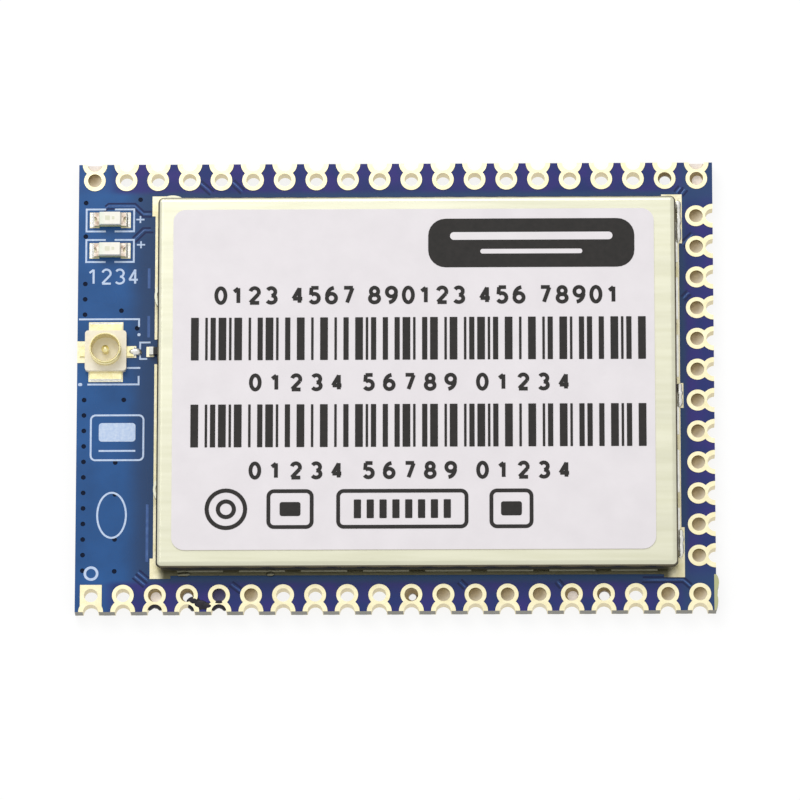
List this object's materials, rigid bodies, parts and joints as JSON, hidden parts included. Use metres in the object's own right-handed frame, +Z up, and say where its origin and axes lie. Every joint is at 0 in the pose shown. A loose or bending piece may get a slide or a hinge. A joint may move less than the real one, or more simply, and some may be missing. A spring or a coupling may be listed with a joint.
{
  "type": "wifi module",
  "caption": "Surface-mount radio module: castellated board with keyhole pads on three edges, sheet-metal shield with a label, chip lamps and a coaxial antenna socket.",
  "frame": {"origin": "middle of the board outline, on its flat underside", "axes": "+X along the board towards the edge with the column of pads, +Y along the board towards the lamps, +Z up out of the shield"},
  "size_m": [0.0402, 0.029, 0.0026],
  "materials": {
    "solder_mask_laminate": "glossy blue solder mask over glass-epoxy laminate",
    "gilt_land": "immersion gold over copper",
    "bare_land": "tinned and gilt copper",
    "nickel_silver_cover": "satin sheet, faint rolling grain",
    "nickel_silver_frame": "dull sheet",
    "solder": "bright solder, slightly wavy",
    "label_stock": "matt white label",
    "lamp_carrier": "thin glass-epoxy carrier",
    "lamp_terminal": "tinned end terminal",
    "lamp_lens": "clear to milky epoxy lens",
    "socket_moulding": "cream liquid-crystal polymer",
    "socket_gold": "gold-plated spring metal",
    "black_moulding": "matt black package moulding",
    "tin": "matt tin plating",
    "ceramic_tan": "fired ceramic",
    "ceramic_white": "fired ceramic",
    "ferrite": "dark ferrite"
  },
  "bodies": {
    "root": {"pcb_board": "solder_mask_laminate", "pads_top_row": "gilt_land", "pads_bottom_row": "gilt_land", "pads_right_column": "gilt_land", "pad_pin_one": "gilt_land", "shield_land": "bare_land", "shield_frame": "nickel_silver_frame", "shield_cover": "nickel_silver_cover", "shield_solder": "solder", "label": "label_stock", "component_lands": "bare_land", "lamp_carriers": "lamp_carrier", "lamp_terminals": "lamp_terminal", "lamp_lenses": "lamp_lens", "lamp_solder": "solder", "socket_moulding": "socket_moulding", "socket_ring_contact": "socket_gold", "socket_middle_contact": "socket_gold", "socket_solder": "solder", "line_part_body": "black_moulding", "line_part_ends": "tin", "processor_package": "black_moulding", "processor_balls": "solder", "memory_body": "black_moulding", "memory_pins": "tin", "flash_chip": "black_moulding", "flash_contacts": "tin", "front_end_chip": "black_moulding", "front_end_contacts": "tin", "crystal_base": "ceramic_white", "crystal_lid": "tin", "power_coils": "ferrite", "power_coil_ends": "tin", "converter_bodies": "black_moulding", "converter_leads": "tin", "capacitor_bodies": "ceramic_tan", "capacitor_ends": "tin", "resistor_bodies": "black_moulding", "resistor_ends": "tin"}
  },
  "joints": []
}
